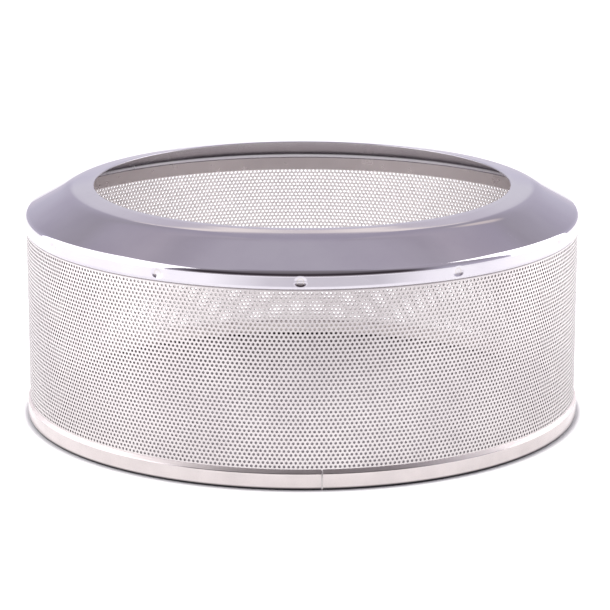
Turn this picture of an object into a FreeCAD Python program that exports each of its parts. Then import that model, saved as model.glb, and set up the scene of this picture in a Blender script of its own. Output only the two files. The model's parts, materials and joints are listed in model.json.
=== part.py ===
import FreeCAD, Part

import math
import os

import Sketcher

# A perforated cheese mould: a drum of rolled, micro-perforated stainless sheet, closed by a seam
# weld, with a spun collar spot-welded round its top and a folded edging strip round its foot.
# Millimetres, +Z up. The origin is the centre of the foot, on the surface that the mould stands on.
# Azimuths are degrees from the front (-Y) towards the right (+X).

# ---------------------------------------------------------------- dimensions

DRIVING = {
    # Hole pattern of the wall sheet: round holes on a 60 degree pattern. It sets the circumference.
    "hole_pitch": 2.5,
    "holes_round": 400,
    # Wall
    "wall_sheet": 0.8,
    "wall_foot": 1.6,
    "wall_top": 116.4,
    "wall_seam_gap": 1.2,
    "wall_seam_azimuth": 98,
    # Collar: a vertical skirt, a shoulder, a cone and a nearly flat lip round the opening
    "collar_sheet": 0.7,
    "skirt_foot": 110.0,
    "skirt_edge": 0.25,
    "skirt_curl": 1.8,
    "shoulder_bend": 4.0,
    "cone_slope": 28.6,
    "lip_slope": 7.6,
    "lip_bend": 22.0,
    "crease_radius": 135.6,
    "rim_radius": 120.1,
    "rim_height": 134.2,
    # Spot welds of the collar's skirt, pressed in by the electrode
    "weld_height": 114.2,
    "weld_radius": 2.5,
    "dimple_radius": 2.3,
    "dimple_depth": 0.3,
    # Edging strip, folded under the wall's lower edge
    "strip": 0.8,
    "strip_radius": 160.6,
    "strip_bend": 1.1,
    "strip_seam_gap": 1.0,
    "strip_seam_azimuth": 3.8,
    "ledge_foot": 9.0,
    "ledge_top": 11.4,
    "ledge_bend": 1.2,
    "inner_leg": 9.5,
    # Spot welds of the strip's inner leg
    "leg_weld_height": 6.0,
    "leg_weld_radius": 2.2,
    "leg_weld_reach": 0.3,
}

# Sizes that follow from the driving ones. Each may use those above it.
DERIVED = {
    "wall_radius": "dims.holes_round * dims.hole_pitch / (2 * pi)",
    "wall_bore": "wall_radius - dims.wall_sheet",
    "wall_seam_angle": "dims.wall_seam_gap / wall_radius * 180 / pi",
    "wall_turn": "360 - wall_seam_angle",
    # Collar
    "skirt_radius": "wall_radius + dims.collar_sheet",
    "skirt_edge_radius": "wall_radius + dims.skirt_edge",
    "curl_top": "dims.skirt_foot + dims.skirt_curl",
    "curl_depth": "dims.collar_sheet - dims.skirt_edge",
    "curl_radius": "(curl_depth ^ 2 + dims.skirt_curl ^ 2) / (2 * curl_depth)",
    "cone_tan": "tan(dims.cone_slope * 1 deg)",
    "cone_cos": "cos(dims.cone_slope * 1 deg)",
    "cone_sin": "sin(dims.cone_slope * 1 deg)",
    "lip_tan": "tan(dims.lip_slope * 1 deg)",
    "lip_cos": "cos(dims.lip_slope * 1 deg)",
    "lip_sin": "sin(dims.lip_slope * 1 deg)",
    "crease_height": "dims.rim_height - (dims.crease_radius - dims.rim_radius) * lip_tan",
    "shoulder_height": "crease_height - (skirt_radius - dims.crease_radius) * cone_tan",
    "shoulder_under": "shoulder_height + dims.collar_sheet * (cone_tan - 1 / cone_cos)",
    "crease_share": "dims.collar_sheet / (1 + cone_cos * lip_cos + cone_sin * lip_sin)",
    "crease_under_radius": "dims.crease_radius - crease_share * (cone_sin + lip_sin)",
    "crease_under": "crease_height - crease_share * (cone_cos + lip_cos)",
    "rim_under": "dims.rim_height - dims.collar_sheet / lip_cos",
    "shoulder_bend_under": "dims.shoulder_bend - dims.collar_sheet",
    "lip_bend_under": "dims.lip_bend - dims.collar_sheet",
    "dimple_ball": "(dims.dimple_radius ^ 2 + dims.dimple_depth ^ 2) / (2 * dims.dimple_depth)",
    "dimple_centre": "skirt_radius - dims.dimple_depth + dimple_ball",
    # Edging strip
    "strip_seam_angle": "dims.strip_seam_gap / dims.strip_radius * 180 / pi",
    "strip_turn": "360 - strip_seam_angle",
    "leg_bore": "wall_bore - dims.strip",
    "channel_radius": "dims.strip_radius - dims.strip",
    "ledge_lean": "atan((dims.strip_radius - wall_radius) / (dims.ledge_top - dims.ledge_foot))",
    "ledge_bend_reach": "dims.ledge_bend * tan(ledge_lean / 2)",
    "ledge_bend_foot": "dims.ledge_foot - ledge_bend_reach",
    "ledge_bend_top": "dims.ledge_foot + ledge_bend_reach * cos(ledge_lean)",
    "ledge_bend_radius": "dims.strip_radius - ledge_bend_reach * sin(ledge_lean)",
    "ledge_under_foot": "dims.ledge_foot - dims.strip * tan(ledge_lean / 2)",
    "ledge_under_top": "ledge_under_foot + (channel_radius - wall_radius) / tan(ledge_lean)",
    # The pins that cut the spot welds' holes start inside everything
    "pin_start": "leg_bore - dims.weld_radius",
    "weld_pin_length": "skirt_radius + dims.weld_radius - pin_start",
    "leg_pin_length": "wall_radius + dims.leg_weld_reach - pin_start",
}

WELD_COUNT = 12
LEG_WELD_AZIMUTH = 15

# The collar's spot welds were marked out by hand, so each stands a little off its even place.
WELD_DRIFT = (-0.3, 1.3, 2.5, -0.8, 0.6, 1.1, -1.4, 0.2, 0.9, -0.5, 1.0, 1.3)

doc = FreeCAD.newDocument("cheese_mold")


def filled_sheet(name, cells):
    """A spreadsheet with one alias to each row, and its text beside it."""
    sheet = doc.addObject("Spreadsheet::Sheet", name)
    for row, (alias, text) in enumerate(cells.items(), start=1):
        sheet.set("A%d" % row, alias)
        sheet.setAlias("B%d" % row, alias)
        sheet.set("B%d" % row, text)
    doc.recompute()
    return sheet


dims = filled_sheet("dims", {alias: str(number) for alias, number in DRIVING.items()})
derived = filled_sheet("derived", {alias: "=" + formula for alias, formula in DERIVED.items()})


# ---------------------------------------------------------------- helpers

def size(alias):
    """The present size of a named dimension."""
    sheet = dims if alias in DRIVING else derived
    found = getattr(sheet, alias)
    return float(getattr(found, "Value", found))


def cell(alias):
    """The expression that binds a property to a named dimension."""
    return ("dims." if alias in DRIVING else "derived.") + alias


def origin_part(body, role):
    for feature in body.Origin.OriginFeatures:
        if feature.Role == role:
            return feature
    raise ValueError("no origin feature %s" % role)


def section(body, corners, curl=None):
    """A closed outline on the body's XZ plane, through corners of (radius, height) dimension names.

    curl is (side, radius name): that side is an arc that bulges away from the axis.
    """
    sketch = body.newObject("Sketcher::SketchObject", body.Name + "_section")
    sketch.AttachmentSupport = [(origin_part(body, "XZ_Plane"), "")]
    sketch.MapMode = "FlatFace"
    points = [FreeCAD.Vector(size(r) if r else 0, size(z) if z else 0, 0) for r, z in corners]
    ends = []
    for side, start in enumerate(points):
        end = points[(side + 1) % len(points)]
        if curl and side == curl[0]:
            radius = size(curl[1])
            chord = end - start
            bulge = FreeCAD.Vector(chord.y, -chord.x, 0).normalize()
            sag = radius - math.sqrt(radius ** 2 - chord.Length ** 2 / 4)
            sketch.addGeometry(Part.Arc(start, (start + end) / 2 + bulge * sag, end), False)
        else:
            sketch.addGeometry(Part.LineSegment(start, end), False)
        near_start = sketch.getPoint(side, 1).distanceToPoint(start) < 1e-6
        ends.append((1, 2) if near_start else (2, 1))
    for side in range(len(points)):
        after = (side + 1) % len(points)
        sketch.addConstraint(Sketcher.Constraint("Coincident", side, ends[side][1], after, ends[after][0]))
    for side, (r, z) in enumerate(corners):
        for kind, alias, place in (("DistanceX", r, points[side].x), ("DistanceY", z, points[side].y)):
            if alias:
                made = sketch.addConstraint(Sketcher.Constraint(kind, -1, 1, side, ends[side][0], place))
                sketch.setExpression("Constraints[%d]" % made, cell(alias))
            else:
                sketch.addConstraint(Sketcher.Constraint("PointOnObject", side, ends[side][0], -1))
    if curl:
        made = sketch.addConstraint(Sketcher.Constraint("Radius", curl[0], size(curl[1])))
        sketch.setExpression("Constraints[%d]" % made, cell(curl[1]))
    doc.recompute()
    return sketch


def turned(name, corners, turn, azimuth=90.0, curl=None):
    """A body whose section is turned about the mould's axis, from an azimuth on."""
    body = doc.addObject("PartDesign::Body", name)
    sketch = section(body, corners, curl)
    ring = body.newObject("PartDesign::Revolution", name + "_turned")
    ring.Profile = sketch
    ring.ReferenceAxis = (sketch, ["V_Axis"])
    if turn:
        ring.setExpression("Angle", cell(turn))
    body.Placement.Rotation = FreeCAD.Rotation(FreeCAD.Vector(0, 0, 1), azimuth - 90)
    doc.recompute()
    return body


def bent(body, corners, radius):
    """Rounds the turned corners at the given (radius, height) dimension names."""
    base = body.Tip
    names = []
    for place, edge in enumerate(base.Shape.Edges, start=1):
        curve = edge.Curve
        if not isinstance(curve, Part.Circle):
            continue
        for r, z in corners:
            height = size(z) if z else 0
            if abs(curve.Radius - size(r)) < 0.01 and abs(curve.Center.z - height) < 0.01:
                names.append("Edge%d" % place)
    fillet = body.newObject("PartDesign::Fillet", "%s_%s" % (body.Name, radius))
    fillet.Base = (base, names)
    fillet.setExpression("Radius", cell(radius))
    doc.recompute()
    return fillet


def outward(azimuth):
    turn = math.radians(azimuth)
    return FreeCAD.Vector(math.sin(turn), -math.cos(turn), 0)


def fused(name, shapes):
    group = doc.addObject("Part::MultiFuse", name)
    group.Shapes = shapes
    return group


def spokes(name, azimuths, height, radius, length):
    """Radial pins, one through each spot weld."""
    pins = []
    for place, azimuth in enumerate(azimuths, start=1):
        pin = doc.addObject("Part::Cylinder", "%s_%02d" % (name, place))
        pin.setExpression("Radius", cell(radius))
        pin.setExpression("Height", cell(length))
        pin.Placement.Base = outward(azimuth) * size("pin_start")
        pin.Placement.Rotation = FreeCAD.Rotation(FreeCAD.Vector(0, 0, 1), outward(azimuth))
        pin.setExpression("Placement.Base.z", cell(height))
        pins.append(pin)
    return fused(name, pins)


def electrode_marks(name, azimuths):
    """Balls that press a shallow dimple into the outside of each spot weld."""
    balls = []
    for place, azimuth in enumerate(azimuths, start=1):
        ball = doc.addObject("Part::Sphere", "%s_%02d" % (name, place))
        ball.setExpression("Radius", cell("dimple_ball"))
        ball.Placement.Base = outward(azimuth) * size("dimple_centre")
        ball.setExpression("Placement.Base.z", cell("weld_height"))
        balls.append(ball)
    return fused(name, balls)


def boolean(kind, name, base, tool):
    """Cut takes the tool from the base, and Common keeps what they share."""
    made = doc.addObject("Part::" + kind, name)
    made.Base = base
    made.Tool = tool
    return made


# ---------------------------------------------------------------- wall

# The perforations are left to the finished look: 18,000 holes would swamp the solid. The sheet's
# section is turned through all but the butt gap, which the seam weld fills.
WALL_SECTION = (
    ("wall_bore", "wall_foot"),
    ("wall_radius", "wall_foot"),
    ("wall_radius", "wall_top"),
    ("wall_bore", "wall_top"),
)
wall_seam_end = size("wall_seam_azimuth") + size("wall_seam_angle") / 2
wall_seam_start = size("wall_seam_azimuth") - size("wall_seam_angle") / 2
wall_sheet = turned("wall_sheet", WALL_SECTION, "wall_turn", wall_seam_end)
wall_seam_weld = turned("wall_seam_weld", WALL_SECTION, "wall_seam_angle", wall_seam_start)

# ---------------------------------------------------------------- collar

# One spun piece of an even sheet: the outer line from the skirt's lower edge to the rim, and back
# along the under side. The skirt's lower edge is curled in and dressed down towards the wall.
COLLAR_SECTION = (
    ("wall_radius", "skirt_foot"),
    ("skirt_edge_radius", "skirt_foot"),
    ("skirt_radius", "curl_top"),
    ("skirt_radius", "shoulder_height"),
    ("crease_radius", "crease_height"),
    ("rim_radius", "rim_height"),
    ("rim_radius", "rim_under"),
    ("crease_under_radius", "crease_under"),
    ("wall_radius", "shoulder_under"),
)
CURL_SIDE = 1
BETWEEN_WELDS = 105
collar_sheet = turned(
    "collar_sheet", COLLAR_SECTION, None, BETWEEN_WELDS, curl=(CURL_SIDE, "curl_radius"))
bent(collar_sheet, [("skirt_radius", "shoulder_height")], "shoulder_bend")
bent(collar_sheet, [("wall_radius", "shoulder_under")], "shoulder_bend_under")
bent(collar_sheet, [("crease_radius", "crease_height")], "lip_bend")
bent(collar_sheet, [("crease_under_radius", "crease_under")], "lip_bend_under")

# ---------------------------------------------------------------- edging strip

# A flat strip rolled into a hoop and folded round the wall's lower edge: outer leg with a sloping
# ledge that closes on the wall, a narrow flat foot, and a plain inner leg.
STRIP_SECTION = (
    ("leg_bore", None),
    ("strip_radius", None),
    ("strip_radius", "ledge_bend_foot"),
    ("ledge_bend_radius", "ledge_bend_top"),
    ("wall_radius", "ledge_top"),
    ("wall_radius", "ledge_under_top"),
    ("channel_radius", "ledge_under_foot"),
    ("channel_radius", "strip"),
    ("wall_bore", "strip"),
    ("wall_bore", "inner_leg"),
    ("leg_bore", "inner_leg"),
)
LEDGE_BEND_SIDE = 2


def folded_strip(name, turn, azimuth):
    body = turned(name, STRIP_SECTION, turn, azimuth, curl=(LEDGE_BEND_SIDE, "ledge_bend"))
    bent(body, [("leg_bore", None), ("strip_radius", None)], "strip_bend")
    return body


strip_seam_end = size("strip_seam_azimuth") + size("strip_seam_angle") / 2
strip_seam_start = size("strip_seam_azimuth") - size("strip_seam_angle") / 2
strip_hoop = folded_strip("strip_hoop", "strip_turn", strip_seam_end)
base_ring_seam_weld = folded_strip("base_ring_seam_weld", "strip_seam_angle", strip_seam_start)

# ---------------------------------------------------------------- spot welds

# Where two sheets are spot-welded their metal is one nugget, so the nugget is a piece of its own
# that fills a matching hole through both sheets.
spacing = 360 / WELD_COUNT
collar_azimuths = [place * spacing + drift for place, drift in enumerate(WELD_DRIFT)]
leg_azimuths = [place * spacing + LEG_WELD_AZIMUTH for place in range(WELD_COUNT)]

collar_pins = spokes("collar_pins", collar_azimuths, "weld_height", "weld_radius", "weld_pin_length")
leg_pins = spokes("leg_pins", leg_azimuths, "leg_weld_height", "leg_weld_radius", "leg_pin_length")
all_pins = fused("all_pins", [collar_pins, leg_pins])

perforated_wall = boolean("Cut", "perforated_wall", wall_sheet, all_pins)
collar = boolean("Cut", "collar", collar_sheet, collar_pins)
base_ring = boolean("Cut", "base_ring", strip_hoop, leg_pins)

top_joint = fused("top_joint", [collar_sheet, wall_sheet])
foot_joint = fused("foot_joint", [strip_hoop, wall_sheet])
top_nuggets = boolean("Common", "top_nuggets", top_joint, collar_pins)
marks = electrode_marks("electrode_marks", collar_azimuths)
collar_spot_welds = boolean("Cut", "collar_spot_welds", top_nuggets, marks)
base_ring_spot_welds = boolean("Common", "base_ring_spot_welds", foot_joint, leg_pins)

# ---------------------------------------------------------------- checks and files

doc.recompute()

SUB_PARTS = (
    perforated_wall,
    wall_seam_weld,
    collar,
    collar_spot_welds,
    base_ring,
    base_ring_seam_weld,
    base_ring_spot_welds,
)

for item in doc.Objects:
    for word in ("Invalid", "Error"):
        if word in item.State:
            raise RuntimeError("%s is %s" % (item.Name, item.State))

os.makedirs("parts", exist_ok=True)
for item in SUB_PARTS:
    item.Label = item.Name
    if item.Shape.isNull() or not item.Shape.isValid():
        raise RuntimeError("%s has no valid shape" % item.Label)
for item in SUB_PARTS:
    item.Shape.exportStep(os.path.join("parts", item.Label + ".step"))
    box = item.Shape.BoundBox
    print("%-22s %2d solids %10.1f mm3  r %.2f  z %.2f to %.2f" % (
        item.Label, len(item.Shape.Solids), item.Shape.Volume, box.XMax, box.ZMin, box.ZMax))
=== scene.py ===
# %% [markdown]
# # A perforated stainless cheese mould
#
# The real object is thin stainless sheet all over: a drum of micro-perforated sheet, a spun and
# polished collar over its top, and a bright edging strip folded under its foot. Everything is
# welded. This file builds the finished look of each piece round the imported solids, which give every
# place and size. Lengths are metres. Azimuths are degrees from the front (-Y) towards the right (+X).

import json
import math

import bmesh
import bpy
import numpy as np
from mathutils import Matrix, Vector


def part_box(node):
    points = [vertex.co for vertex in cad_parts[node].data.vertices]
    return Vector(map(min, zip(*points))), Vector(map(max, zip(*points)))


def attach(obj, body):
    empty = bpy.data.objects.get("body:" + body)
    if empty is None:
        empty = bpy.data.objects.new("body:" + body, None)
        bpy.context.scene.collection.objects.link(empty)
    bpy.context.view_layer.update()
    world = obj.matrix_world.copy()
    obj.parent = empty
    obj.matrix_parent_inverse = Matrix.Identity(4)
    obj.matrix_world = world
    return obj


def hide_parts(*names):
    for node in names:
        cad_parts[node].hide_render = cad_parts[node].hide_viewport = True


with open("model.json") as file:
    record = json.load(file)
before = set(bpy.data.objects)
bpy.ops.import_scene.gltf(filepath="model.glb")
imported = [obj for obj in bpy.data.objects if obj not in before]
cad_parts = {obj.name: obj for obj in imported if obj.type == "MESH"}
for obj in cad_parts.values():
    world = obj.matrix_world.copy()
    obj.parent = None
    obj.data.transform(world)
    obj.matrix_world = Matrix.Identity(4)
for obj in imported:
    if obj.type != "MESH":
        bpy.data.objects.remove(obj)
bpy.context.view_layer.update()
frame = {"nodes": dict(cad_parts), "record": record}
MM = 0.001
print("CAD nodes:", sorted(frame["nodes"]))

# %% [markdown]
# ## The camera
#
# A product picture of a wide, low drum is taken from a little above, with a long lens, so that the
# opening shows as an ellipse and the wall keeps its upright sides. A long lens from far off is
# better than a short one from close by, because it keeps the near and far rims alike in width.

# %% Camera
CAMERA_ELEVATION = math.radians(14.5)
CAMERA_DISTANCE = 1.5764
LOOK_HEIGHT = 0.0605
LENS_MM = 159.2
AXIS_LEFT_OF_CENTRE = 2.9 / 610

camera_data = bpy.data.cameras.new("camera")
camera_data.lens = LENS_MM
camera_data.sensor_width = 36.0
camera_data.shift_x = AXIS_LEFT_OF_CENTRE
camera = bpy.data.objects.new("camera", camera_data)
camera.location = (
    0,
    -CAMERA_DISTANCE * math.cos(CAMERA_ELEVATION),
    LOOK_HEIGHT + CAMERA_DISTANCE * math.sin(CAMERA_ELEVATION),
)
camera.rotation_euler = (math.radians(90) - CAMERA_ELEVATION, 0, 0)
bpy.context.scene.collection.objects.link(camera)
bpy.context.scene.camera = camera
print("camera at", [round(x, 3) for x in camera.location])

# %% [markdown]
# ## Two small helpers
#
# Metals are picked as sRGB hex values, the way a colour chart gives them, and the shader wants
# linear numbers, so one function turns them. One more adds a node to any tree, sets it and links
# what feeds it, so that a tree reads as a list of steps.

# %% Helpers for colours and nodes


def linear(hex_colour, alpha=1.0):
    """An sRGB hex colour as linear RGBA."""
    parts = [int(hex_colour[i:i + 2], 16) / 255 for i in (1, 3, 5)]
    return (*(p / 12.92 if p <= 0.04045 else ((p + 0.055) / 1.055) ** 2.4 for p in parts), alpha)


def add(tree, kind, inputs=None, stops=(), **settings):
    """Adds a node with its settings and links.

    inputs maps a socket's name or number to a value, or to what feeds it: an output, a node, which
    stands for its first output, or a list of these. stops are a colour ramp's (place, hex colour).
    """
    node = tree.nodes.new(kind)
    for name, value in settings.items():
        setattr(node, name, value)
    for key, value in (inputs or {}).items():
        for feed in value if isinstance(value, list) else [value]:
            if isinstance(feed, bpy.types.Node):
                feed = feed.outputs[0]
            if isinstance(feed, bpy.types.NodeSocket):
                tree.links.new(feed, node.inputs[key])
            else:
                node.inputs[key].default_value = feed
    for _ in stops[2:]:
        node.color_ramp.elements.new(0.5)
    for number, (place, hex_colour) in enumerate(stops):
        node.color_ramp.elements[number].position = place
        node.color_ramp.elements[number].color = linear(hex_colour)
    return node


MATH = "ShaderNodeMath"
# A Mix node has its sockets for every data type in one row: these are the colour ones.
MIX_A = 6
MIX_B = 7
MIX_RESULT = 2
print("a mid steel grey is", [round(x, 3) for x in linear("#c6c4c6")])

# %% [markdown]
# ## Sizes
#
# The outer sizes come from the frame. The wall's hole pattern is the trade's R1.5 T2.5 sheet: round
# holes of 1.5 mm at 2.5 mm centres on a 60 degree pattern, so the rows are 2.165 mm apart.

# %% Sizes from the frame
wall_low, wall_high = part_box("perforated_wall")
collar_low, collar_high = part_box("collar")
ring_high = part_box("base_ring")[1]

HOLE_PITCH = 2.5 * MM
HOLE_DIAMETER = 1.5 * MM
ROW_PITCH = HOLE_PITCH * math.sqrt(3) / 2
HOLES_ROUND = 400
HOLE_ROWS = 45
TOP_ROW_HEIGHT = 107.85 * MM
WALL_SHEET = 0.8 * MM
WALL_RADIUS = HOLES_ROUND * HOLE_PITCH / math.tau
WALL_BORE = WALL_RADIUS - WALL_SHEET
WALL_FOOT = wall_low.z
WALL_TOP = wall_high.z
BOTTOM_ROW_HEIGHT = TOP_ROW_HEIGHT - (HOLE_ROWS - 1) * ROW_PITCH
print("wall radius %.3f mm, in the frame %.3f mm" % (WALL_RADIUS / MM, wall_high.x / MM))
print("hole rows from %.2f to %.2f mm" % (BOTTOM_ROW_HEIGHT / MM, TOP_ROW_HEIGHT / MM))

# %% [markdown]
# ## The perforated wall
#
# The real wall starts as a flat sheet with plain margins. It is punched, rolled into a hoop and
# closed with a weld. About 18,000 holes are too many to cut with booleans, and a picture of holes
# would have no depth: at a glancing view the edge of each hole shows the sheet's thickness. So the
# mesh is made as the sheet is. Code draws the plain margins flat, and a Geometry Nodes tree adds one
# small cell for every hole, welds the cells together, gives the sheet its thickness and rolls it.
#
# Six neighbours stand round every hole, so the cell is a hexagon with a twelve-sided hole, which
# reads as round at this size and costs 60 triangles. The hoop is made as six panels, because one
# mesh of a million triangles is slow to handle. Their edges meet cell to cell and don't show.

# %% The flat sheet's plain margins
SEAM_AZIMUTH = 98.0
SEAM_GAP = 1.2 * MM
PLAIN_COLUMNS = 4
PANELS = 6
COLUMNS = HOLES_ROUND - PLAIN_COLUMNS
PANEL_COLUMNS = COLUMNS // PANELS
CELL = HOLE_PITCH / math.sqrt(3)
AREA_TRUE = math.sqrt(math.pi / 3)
BAKE_MAP = "OFBake"
MAP_WIDTH = (PANEL_COLUMNS + 3) * HOLE_PITCH
FIELD_START = (PLAIN_COLUMNS - 0.5) / 2 * HOLE_PITCH
FIELD_END = FIELD_START + COLUMNS * HOLE_PITCH
SHEET_END = HOLES_ROUND * HOLE_PITCH - SEAM_GAP / 2


def strip_between(near, far, quads):
    """Adds the quads between two lines of as many points."""
    for i in range(len(near) - 1):
        quads.append((near[i], near[i + 1], far[i + 1], far[i]))


def saw_edge(x):
    """The stepped upright edge of the hole field, from its lowest cell to its highest."""
    points = []
    for row in range(HOLE_ROWS):
        y = BOTTOM_ROW_HEIGHT + row * ROW_PITCH
        step = x + HOLE_PITCH / 2 * (row % 2)
        points += [(step, y - CELL / 2), (step, y + CELL / 2)]
    return points


def margin_quads(panel):
    """The plain parts of one panel, flat: x runs round the drum and y is the height."""
    quads = []
    low, high = [], []
    first = panel * PANEL_COLUMNS
    for half in range(2 * PANEL_COLUMNS + 1):
        x = FIELD_START + (first + half / 2) * HOLE_PITCH
        reach = CELL / 2 if half % 2 == 0 else CELL
        low.append((x, BOTTOM_ROW_HEIGHT - reach))
        high.append((x, TOP_ROW_HEIGHT + reach))
    strip_between([(x, WALL_FOOT) for x, y in low], low, quads)
    strip_between(high, [(x, WALL_TOP) for x, y in high], quads)
    if panel == 0:
        edge = [(FIELD_START, WALL_FOOT)] + saw_edge(FIELD_START) + [(FIELD_START, WALL_TOP)]
        middle = [((SEAM_GAP / 2 + FIELD_START) / 2, y) for x, y in edge]
        strip_between(edge, middle, quads)
        strip_between(middle, [(SEAM_GAP / 2, y) for x, y in edge], quads)
    if panel == PANELS - 1:
        edge = [(FIELD_END, WALL_FOOT)] + saw_edge(FIELD_END) + [(FIELD_END, WALL_TOP)]
        middle = [((SHEET_END + FIELD_END + HOLE_PITCH) / 2, y) for x, y in edge]
        strip_between(middle, edge, quads)
        strip_between([(SHEET_END, y) for x, y in edge], middle, quads)
    return quads


print("%d columns of holes in %d panels, field from %.2f mm" % (COLUMNS, PANELS, FIELD_START / MM))

# %% [markdown]
# ### One cell
#
# A cell is a flat hexagon that stands on a corner, with a hole in its middle: two curves, filled
# between. Every point of the hole's edge remembers the way to the hole's centre, because the map for
# baking draws the wall of the hole as a ring inside it.

# %% One cell of the pattern
HOLE_SIDES = 12
EDGE_REACH = 1.1
RING_PULL = 0.4


def holed_cell(tree, given):
    """One flat cell, with the way inwards kept on the points of its hole's edge."""
    cell_size = add(tree, MATH, {0: given["Pitch"], 1: math.sqrt(3)}, operation="DIVIDE")
    outline = add(tree, "GeometryNodeCurvePrimitiveCircle", {"Resolution": 6, "Radius": cell_size})
    turned = add(tree, "GeometryNodeTransform", {0: outline, "Rotation": (0, 0, math.radians(30))})
    hole_radius = add(tree, MATH, {0: given["Hole Diameter"], 1: 0.5 * AREA_TRUE}, operation="MULTIPLY")
    hole = add(tree, "GeometryNodeCurvePrimitiveCircle", {"Resolution": HOLE_SIDES, "Radius": hole_radius})
    lines = add(tree, "GeometryNodeJoinGeometry", {0: [turned, hole]})
    plain_cell = add(tree, "GeometryNodeFillCurve", {0: lines}, mode="TRIANGLES")
    spot = add(tree, "GeometryNodeInputPosition")
    off_middle = add(tree, "ShaderNodeVectorMath", {0: spot}, operation="LENGTH")
    edge_reach = add(tree, MATH, {0: hole_radius, 1: EDGE_REACH}, operation="MULTIPLY")
    at_edge = add(tree, MATH, {0: off_middle.outputs["Value"], 1: edge_reach}, operation="LESS_THAN")
    pull = add(tree, MATH, {0: at_edge, 1: -RING_PULL}, operation="MULTIPLY")
    inwards = add(tree, "ShaderNodeVectorMath", {0: spot, "Scale": pull}, operation="SCALE")
    return add(tree, "GeometryNodeStoreNamedAttribute", {
        0: plain_cell, "Name": "inwards", "Value": inwards}, data_type="FLOAT_VECTOR", domain="POINT")


print("a hole of %d sides" % HOLE_SIDES)

# %% [markdown]
# ### A cell for every hole
#
# Points are laid out from their index, which needs no random numbers and no grid: the quotient gives
# the row and the rest the column, and every other row moves along by half a pitch.

# %% The field of cells


def field_of_cells(tree, given, cell):
    """The cell on every point of the pattern, as real mesh."""
    count = add(tree, MATH, {0: given["Columns"], 1: given["Rows"]}, operation="MULTIPLY")
    index = add(tree, "GeometryNodeInputIndex")
    index_middle = add(tree, MATH, {0: index, 1: 0.5}, operation="ADD")
    row_share = add(tree, MATH, {0: index_middle, 1: given["Columns"]}, operation="DIVIDE")
    row = add(tree, MATH, {0: row_share}, operation="FLOOR")
    row_start = add(tree, MATH, {0: row, 1: given["Columns"]}, operation="MULTIPLY")
    column = add(tree, MATH, {0: index, 1: row_start}, operation="SUBTRACT")
    whole_column = add(tree, MATH, {0: column, 1: given["First Column"]}, operation="ADD")
    odd_row = add(tree, MATH, {0: row, 1: 2}, operation="MODULO")
    half_step = add(tree, MATH, {0: odd_row, 1: 0.5, 2: 0.5}, operation="MULTIPLY_ADD")
    columns_along = add(tree, MATH, {0: whole_column, 1: half_step}, operation="ADD")
    along = add(tree, MATH, {
        0: columns_along, 1: given["Pitch"], 2: given["Field Start"]}, operation="MULTIPLY_ADD")
    row_pitch = add(tree, MATH, {0: given["Pitch"], 1: math.sqrt(3) / 2}, operation="MULTIPLY")
    height = add(tree, MATH, {0: row, 1: row_pitch, 2: given["Lowest Row"]}, operation="MULTIPLY_ADD")
    place = add(tree, "ShaderNodeCombineXYZ", {"X": along, "Y": height})
    points = add(tree, "GeometryNodePoints", {"Count": count, "Position": place})
    cells = add(tree, "GeometryNodeInstanceOnPoints", {"Points": points, "Instance": cell})
    return add(tree, "GeometryNodeRealizeInstances", {0: cells})


print("%d holes in a panel" % (PANEL_COLUMNS * HOLE_ROWS))

# %% [markdown]
# ### Thickness, and a map for baking
#
# The sheet is extruded by its thickness. The map lays the face on the left half and the back on the
# right half, and the wall of each hole as a ring inside that hole, so that nothing on it overlaps.

# %% The thick sheet and its map
MERGE = 0.02 * MM
FACE_LEFT = 0.01
BACK_LEFT = 0.51
MAP_SPAN = 0.47
MAP_FOOT = 0.01
MAP_RISE = 0.98


def thick_and_mapped(tree, given, sheet):
    """The flat sheet, closed and thick, with its map."""
    welded = add(tree, "GeometryNodeMergeByDistance", {0: sheet, "Distance": MERGE})
    back = add(tree, "GeometryNodeFlipFaces", {0: welded})
    rise = add(tree, "ShaderNodeCombineXYZ", {"Z": given["Sheet"]})
    front = add(tree, "GeometryNodeExtrudeMesh", {
        0: welded, "Offset": rise, "Offset Scale": 1.0, "Individual": False})

    flat = add(tree, "ShaderNodeSeparateXYZ", {0: add(tree, "GeometryNodeInputPosition")})
    kept = add(tree, "GeometryNodeInputNamedAttribute", {"Name": "inwards"}, data_type="FLOAT_VECTOR")
    ring = add(tree, "ShaderNodeSeparateXYZ", {0: kept})
    depth_share = add(tree, MATH, {0: flat.outputs["Z"], 1: given["Sheet"]}, operation="DIVIDE")
    sunk = add(tree, MATH, {0: 1.0, 1: depth_share}, operation="SUBTRACT")
    start = add(tree, MATH, {0: given["First Column"], 1: given["Pitch"]}, operation="MULTIPLY")
    run = add(tree, MATH, {0: flat.outputs["X"], 1: start}, operation="SUBTRACT")
    ring_run = add(tree, MATH, {0: sunk, 1: ring.outputs["X"], 2: run}, operation="MULTIPLY_ADD")
    ring_rise = add(tree, MATH, {
        0: sunk, 1: ring.outputs["Y"], 2: flat.outputs["Y"]}, operation="MULTIPLY_ADD")
    mapped = []
    for geometry, across, up, left in (
            (front, ring_run, ring_rise, FACE_LEFT), (back, run, flat.outputs["Y"], BACK_LEFT)):
        u = add(tree, MATH, {0: across, 1: MAP_SPAN / MAP_WIDTH, 2: left}, operation="MULTIPLY_ADD")
        v = add(tree, MATH, {0: up, 1: MAP_RISE / WALL_TOP, 2: MAP_FOOT}, operation="MULTIPLY_ADD")
        uv = add(tree, "ShaderNodeCombineXYZ", {"X": u, "Y": v})
        mapped.append(add(tree, "GeometryNodeStoreNamedAttribute", {
            0: geometry, "Name": BAKE_MAP, "Value": uv}, data_type="FLOAT2", domain="CORNER"))
    both = add(tree, "GeometryNodeJoinGeometry", {0: mapped})
    return add(tree, "GeometryNodeMergeByDistance", {0: both, "Distance": MERGE})


print("map %.1f mm wide" % (MAP_WIDTH / MM))

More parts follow.
